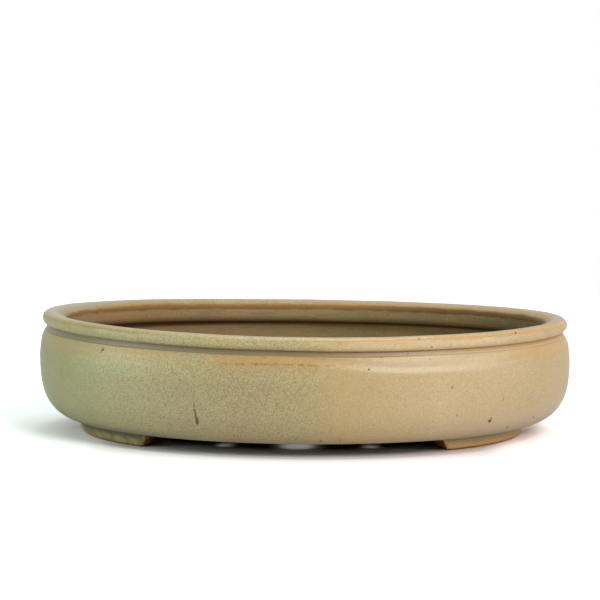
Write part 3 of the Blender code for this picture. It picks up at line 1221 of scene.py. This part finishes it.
def foot_finish(name):
    """Glaze on the outer face, bare dark clay on the ends, the back and the underside, with painted shade
    further in.
    """
    finish, place = open_finish(name)
    x, _, z = place.split()
    right = x.ease(-60, 60)
    inward = place.mark("inward")
    ragged = place.wobble(4, 1.6, detail=3, seed=61e3)
    bare = (inward + ragged * 0.4).ease(0.5, 1.2).at_least((z + ragged * 0.3).ease(0.8, 0.3))
    grit = place.noise(1.4, detail=4, seed=67e3)
    dark = blend(grit.ease(0.45, 0.65) * 0.7, (104, 60, 18), (206, 134, 52))
    # Painted shade: the cut ends go nearly black further in, under the pot.
    dark = blend((inward - 5 * right).ease(2, 10) * 0.93, dark, (28, 18, 8))
    colour = blend(bare, foot_glaze(place, ragged, right), dark)
    height = sand(place) * (0.25 + 0.75 * bare)
    wire_up(finish, colour, 0.45 + bare * 0.42, height, FOOT_RELIEF)
    return finish


FOOT_FINISH = foot_finish("ash_glaze_on_the_feet")
print("foot finish:", len(FOOT_FINISH.node_tree.nodes), "nodes")

# %% [markdown]
# The four feet differ only in which stretch of the ellipse they follow. Counting turns from the
# right end of the pot, the stretch of the back right foot is mirrored into the other quarters by
# changing where it starts, so none of the feet is a mirrored mesh that would be inside out.

# %% Make the feet
FOOT_INNER_END = 85.5 * MM
FOOT_END_GAP = 18 * MM
FOOT_END_SLOPE = 5.5 * MM
FOOT_SHIFT = -1.5 * MM

reach_x = FOOT_SHAPE["Reach X"]
reach_y = FOOT_SHAPE["Reach Y"]
near_turn = asin(FOOT_END_GAP / 2 / reach_y)
far_turn = acos(FOOT_INNER_END / reach_x)
QUARTERS = {
    "back_right": (near_turn, far_turn),
    "back_left": (pi - far_turn, pi - near_turn),
    "front_left": (pi + near_turn, pi + far_turn),
    "front_right": (tau - far_turn, tau - near_turn),
}


def pace(turn):
    """How far one more radian of turn moves a point of the ellipse, at this place on it."""
    return hypot(reach_x * sin(turn), reach_y * cos(turn))


def make_foot(quarter, first, last, seed):
    """One foot on its stretch of the ellipse."""
    leans = (FOOT_END_SLOPE / pace(first), FOOT_END_SLOPE / pace(last))
    stretch = zip(FOOT_STRETCH, (first, last, *leans, (last - first) * pace((first + last) / 2)))
    amounts = {**FOOT_SHAPE, **dict(stretch), "Seed": seed, "Finish": FOOT_FINISH}
    mesh = run_tree(FOOT, bpy.data.meshes.new("block"), amounts)
    mesh.transform(Matrix.Translation((FOOT_SHIFT, 0.0, 0.0)))
    return stand_in_place(mesh, f"glazed_foot_{quarter}", f"foot_{quarter}")


for number, (quarter, (first, last)) in enumerate(QUARTERS.items()):
    make_foot(quarter, first, last, seed=number + 1)

# %% [markdown]
# ## The table and the light
#
# The pot stands on white paper between four soft lights. To the camera alone the paper is a
# little brighter than white, so the unshadowed part goes clean white while the pot gets no extra
# light from it. The background does the same through the world. To the camera the paper also
# carries painted light and shade: a painted shadow under the pot, with three paler spots painted
# below the holes, where light also falls through them, painted light near both ends that lifts
# the shadow there, and a faint painted tint in the shadow, cyan on the left and pink on the right.

# %% Lay the paper
PAPER_REACH = 0.8
PAINTED_LIGHT_BELOW_HOLES = 0.42
PAINTED_SHADOW_UNDER_POT = 0.06


def rays(bench):
    """What a ray is for: 1 for the camera's own, and 1 for a reflection or a refraction."""
    path = {flow.socket.name: flow for flow in bench.node("ShaderNodeLightPath").siblings()}
    return path["Is Camera Ray"], path["Is Glossy Ray"].at_least(path["Is Transmission Ray"])


def grey(level):
    """A colour without a tint, of this strength."""
    return (level, level, level, 1.0)


def paper_to_camera(place):
    """The paper as the camera alone sees it, with painted shadow and painted light. `away` is 1 on the line
    where the base stands.
    """
    x = place.split()[0]
    size = x.size()
    base = (MM / (HALF_LENGTH - BASE_INSET_END), MM / (HALF_WIDTH - BASE_INSET_SIDE), 0.0)
    away = place.times(base).length()
    # Painted light near both ends, which lifts the shadow there.
    at_end = size.ease(100, 122) * away.ease(1.4, 1.15)
    near_end = blend(x.ease(-50, 50), grey(1.36), grey(1.62))
    open_paper = blend(at_end, grey(1.12), near_end)
    # Painted shadow under the pot, with painted light in three spots below the holes, and a lighter painted
    # shadow towards its edge.
    painted_spots_below_holes = size.near(WIRE_HOLE_OFFSET / MM, 8, 1).at_least(size.ease(18, 3))
    painted_shadow_underneath = blend(painted_spots_below_holes, grey(PAINTED_SHADOW_UNDER_POT), grey(PAINTED_LIGHT_BELOW_HOLES))
    level = coats(
        painted_shadow_underneath,
        (away.ease(0.7, 0.84), grey(0.78)),
        (away.ease(1.04, 1.12), open_paper),
        (size.ease(95, 115), open_paper),
    )
    # A painted shadow tint: faintly cyan on the left, pink on the right.
    painted_shadow_tint = blend(x.ease(-110, 110), (249, 255, 253), (255, 246, 248))
    return blend(away.ease(1.6, 3.0), level.times(painted_shadow_tint), grey(1.5))


def paper_finish():
    """Pale paper, bright enough to the camera to be clean white where no shadow falls, with a painted shadow
    under the pot.
    """
    finish, place = open_finish("white_paper")
    camera, mirrored = rays(place.bench)
    tint = blend(mirrored, grey(0.62), grey(0.85))
    tint = blend(camera, tint, paper_to_camera(place))
    sockets = {"Base Color": tint, "Roughness": 1.0, "Specular IOR Level": 0.0}
    place.bench.wire(finish.node_tree.nodes["Principled BSDF"], sockets)
    return finish


paper_mesh = bpy.data.meshes.new("paper")
edge_places = [(sx * PAPER_REACH, sy * PAPER_REACH, 0.0) for sx, sy in ((-1, -1), (1, -1), (1, 1), (-1, 1))]
paper_mesh.from_pydata(edge_places, [], [(0, 1, 2, 3)])
paper_mesh.materials.append(paper_finish())
paper = put_in_scene("paper", paper_mesh)
print("paper:", 2 * PAPER_REACH, "m across")

# %% Light the pot
HORIZON_LIGHT = 0.06
SKY_LIGHT = 0.6
LIGHT_AIM = Vector((0.0, 0.0, 0.03))
LIGHTS = {
    "overhead": ((0.05, 0.12, 1.0), 0.5, 3.8, (1.0, 1.0, 1.0)),
    "right_front": ((0.64, -0.92, 0.85), 0.6, 9.5, (1.0, 0.975, 0.95)),
    "right_side": ((1.15, -0.35, 0.26), 0.5, 4.0, (1.0, 0.97, 0.96)),
    "left_side": ((-1.15, -0.5, 0.42), 0.6, 5.5, (0.94, 0.98, 1.0)),
}


def light_world():
    """Even light, weaker near the horizon, with a plain white backdrop."""
    world = bpy.data.worlds.new("studio")
    world.use_nodes = True
    bench = Bench(world.node_tree)
    _, y, z = bench.node("ShaderNodeTexCoord").split()
    camera, mirrored = rays(bench)
    white = camera.at_least(mirrored * y.ease(-0.1, 0.4))
    sky = HORIZON_LIGHT + (SKY_LIGHT - HORIZON_LIGHT) * z.ease(0.05, 0.8)
    sockets = {"Color": grey(1.0), "Strength": sky + white * (1.0 - sky)}
    bench.wire(world.node_tree.nodes["Background"], sockets)
    bpy.context.scene.world = world


def softbox(name, place, width, watts, tint):
    """A square soft light that looks at the pot."""
    data = bpy.data.lights.new(name, "AREA")
    data.shape = "SQUARE"
    data.size = width
    data.energy = watts
    data.color = tint
    light = put_in_scene(name, data)
    light.location = place
    light.rotation_mode = "QUATERNION"
    light.rotation_quaternion = (LIGHT_AIM - Vector(place)).to_track_quat("-Z", "Y")


light_world()
for name, (place, width, watts, tint) in LIGHTS.items():
    softbox(name, place, width, watts, tint)

# %% [markdown]
# ## The camera
#
# The photograph was taken with a long lens from just above the rim: 7.6 degrees up and 3 degrees
# round to the right of the pot's front. The shift puts the pot a little below the middle of the
# picture, where it is in the photograph.

# %% Set up the camera
PICTURE_PIXELS = 600
FOCAL_PIXELS = 1971.0
AIM_PIXELS = (303.9, 372.6)
AIM_HEIGHT = 33 * MM
CAMERA_DISTANCE = 1.14
CAMERA_ELEVATION = radians(7.603)
CAMERA_TURN = radians(3.0)
CAMERA_ROLL = radians(0.162)


def make_camera():
    """A long lens on the front of the pot."""
    data = bpy.data.cameras.new("long_lens")
    data.sensor_width = 36.0
    data.lens = FOCAL_PIXELS / PICTURE_PIXELS * data.sensor_width
    data.shift_x = (PICTURE_PIXELS / 2 - AIM_PIXELS[0]) / PICTURE_PIXELS
    data.shift_y = (AIM_PIXELS[1] - PICTURE_PIXELS / 2) / PICTURE_PIXELS
    camera = put_in_scene("long_lens", data)
    back = Vector((
        sin(CAMERA_TURN) * cos(CAMERA_ELEVATION),
        -cos(CAMERA_TURN) * cos(CAMERA_ELEVATION),
        sin(CAMERA_ELEVATION),
    ))
    camera.location = Vector((0.0, 0.0, AIM_HEIGHT)) + back * CAMERA_DISTANCE
    camera.rotation_mode = "QUATERNION"
    level = (-back).to_track_quat("-Z", "Y")
    camera.rotation_quaternion = level @ Quaternion((0.0, 0.0, 1.0), CAMERA_ROLL)
    bpy.context.scene.camera = camera
    return camera


camera = make_camera()
bpy.context.scene.view_settings.view_transform = "Standard"
print("lens:", round(camera.data.lens, 1), "mm")

# %% [markdown]
# ## Finish
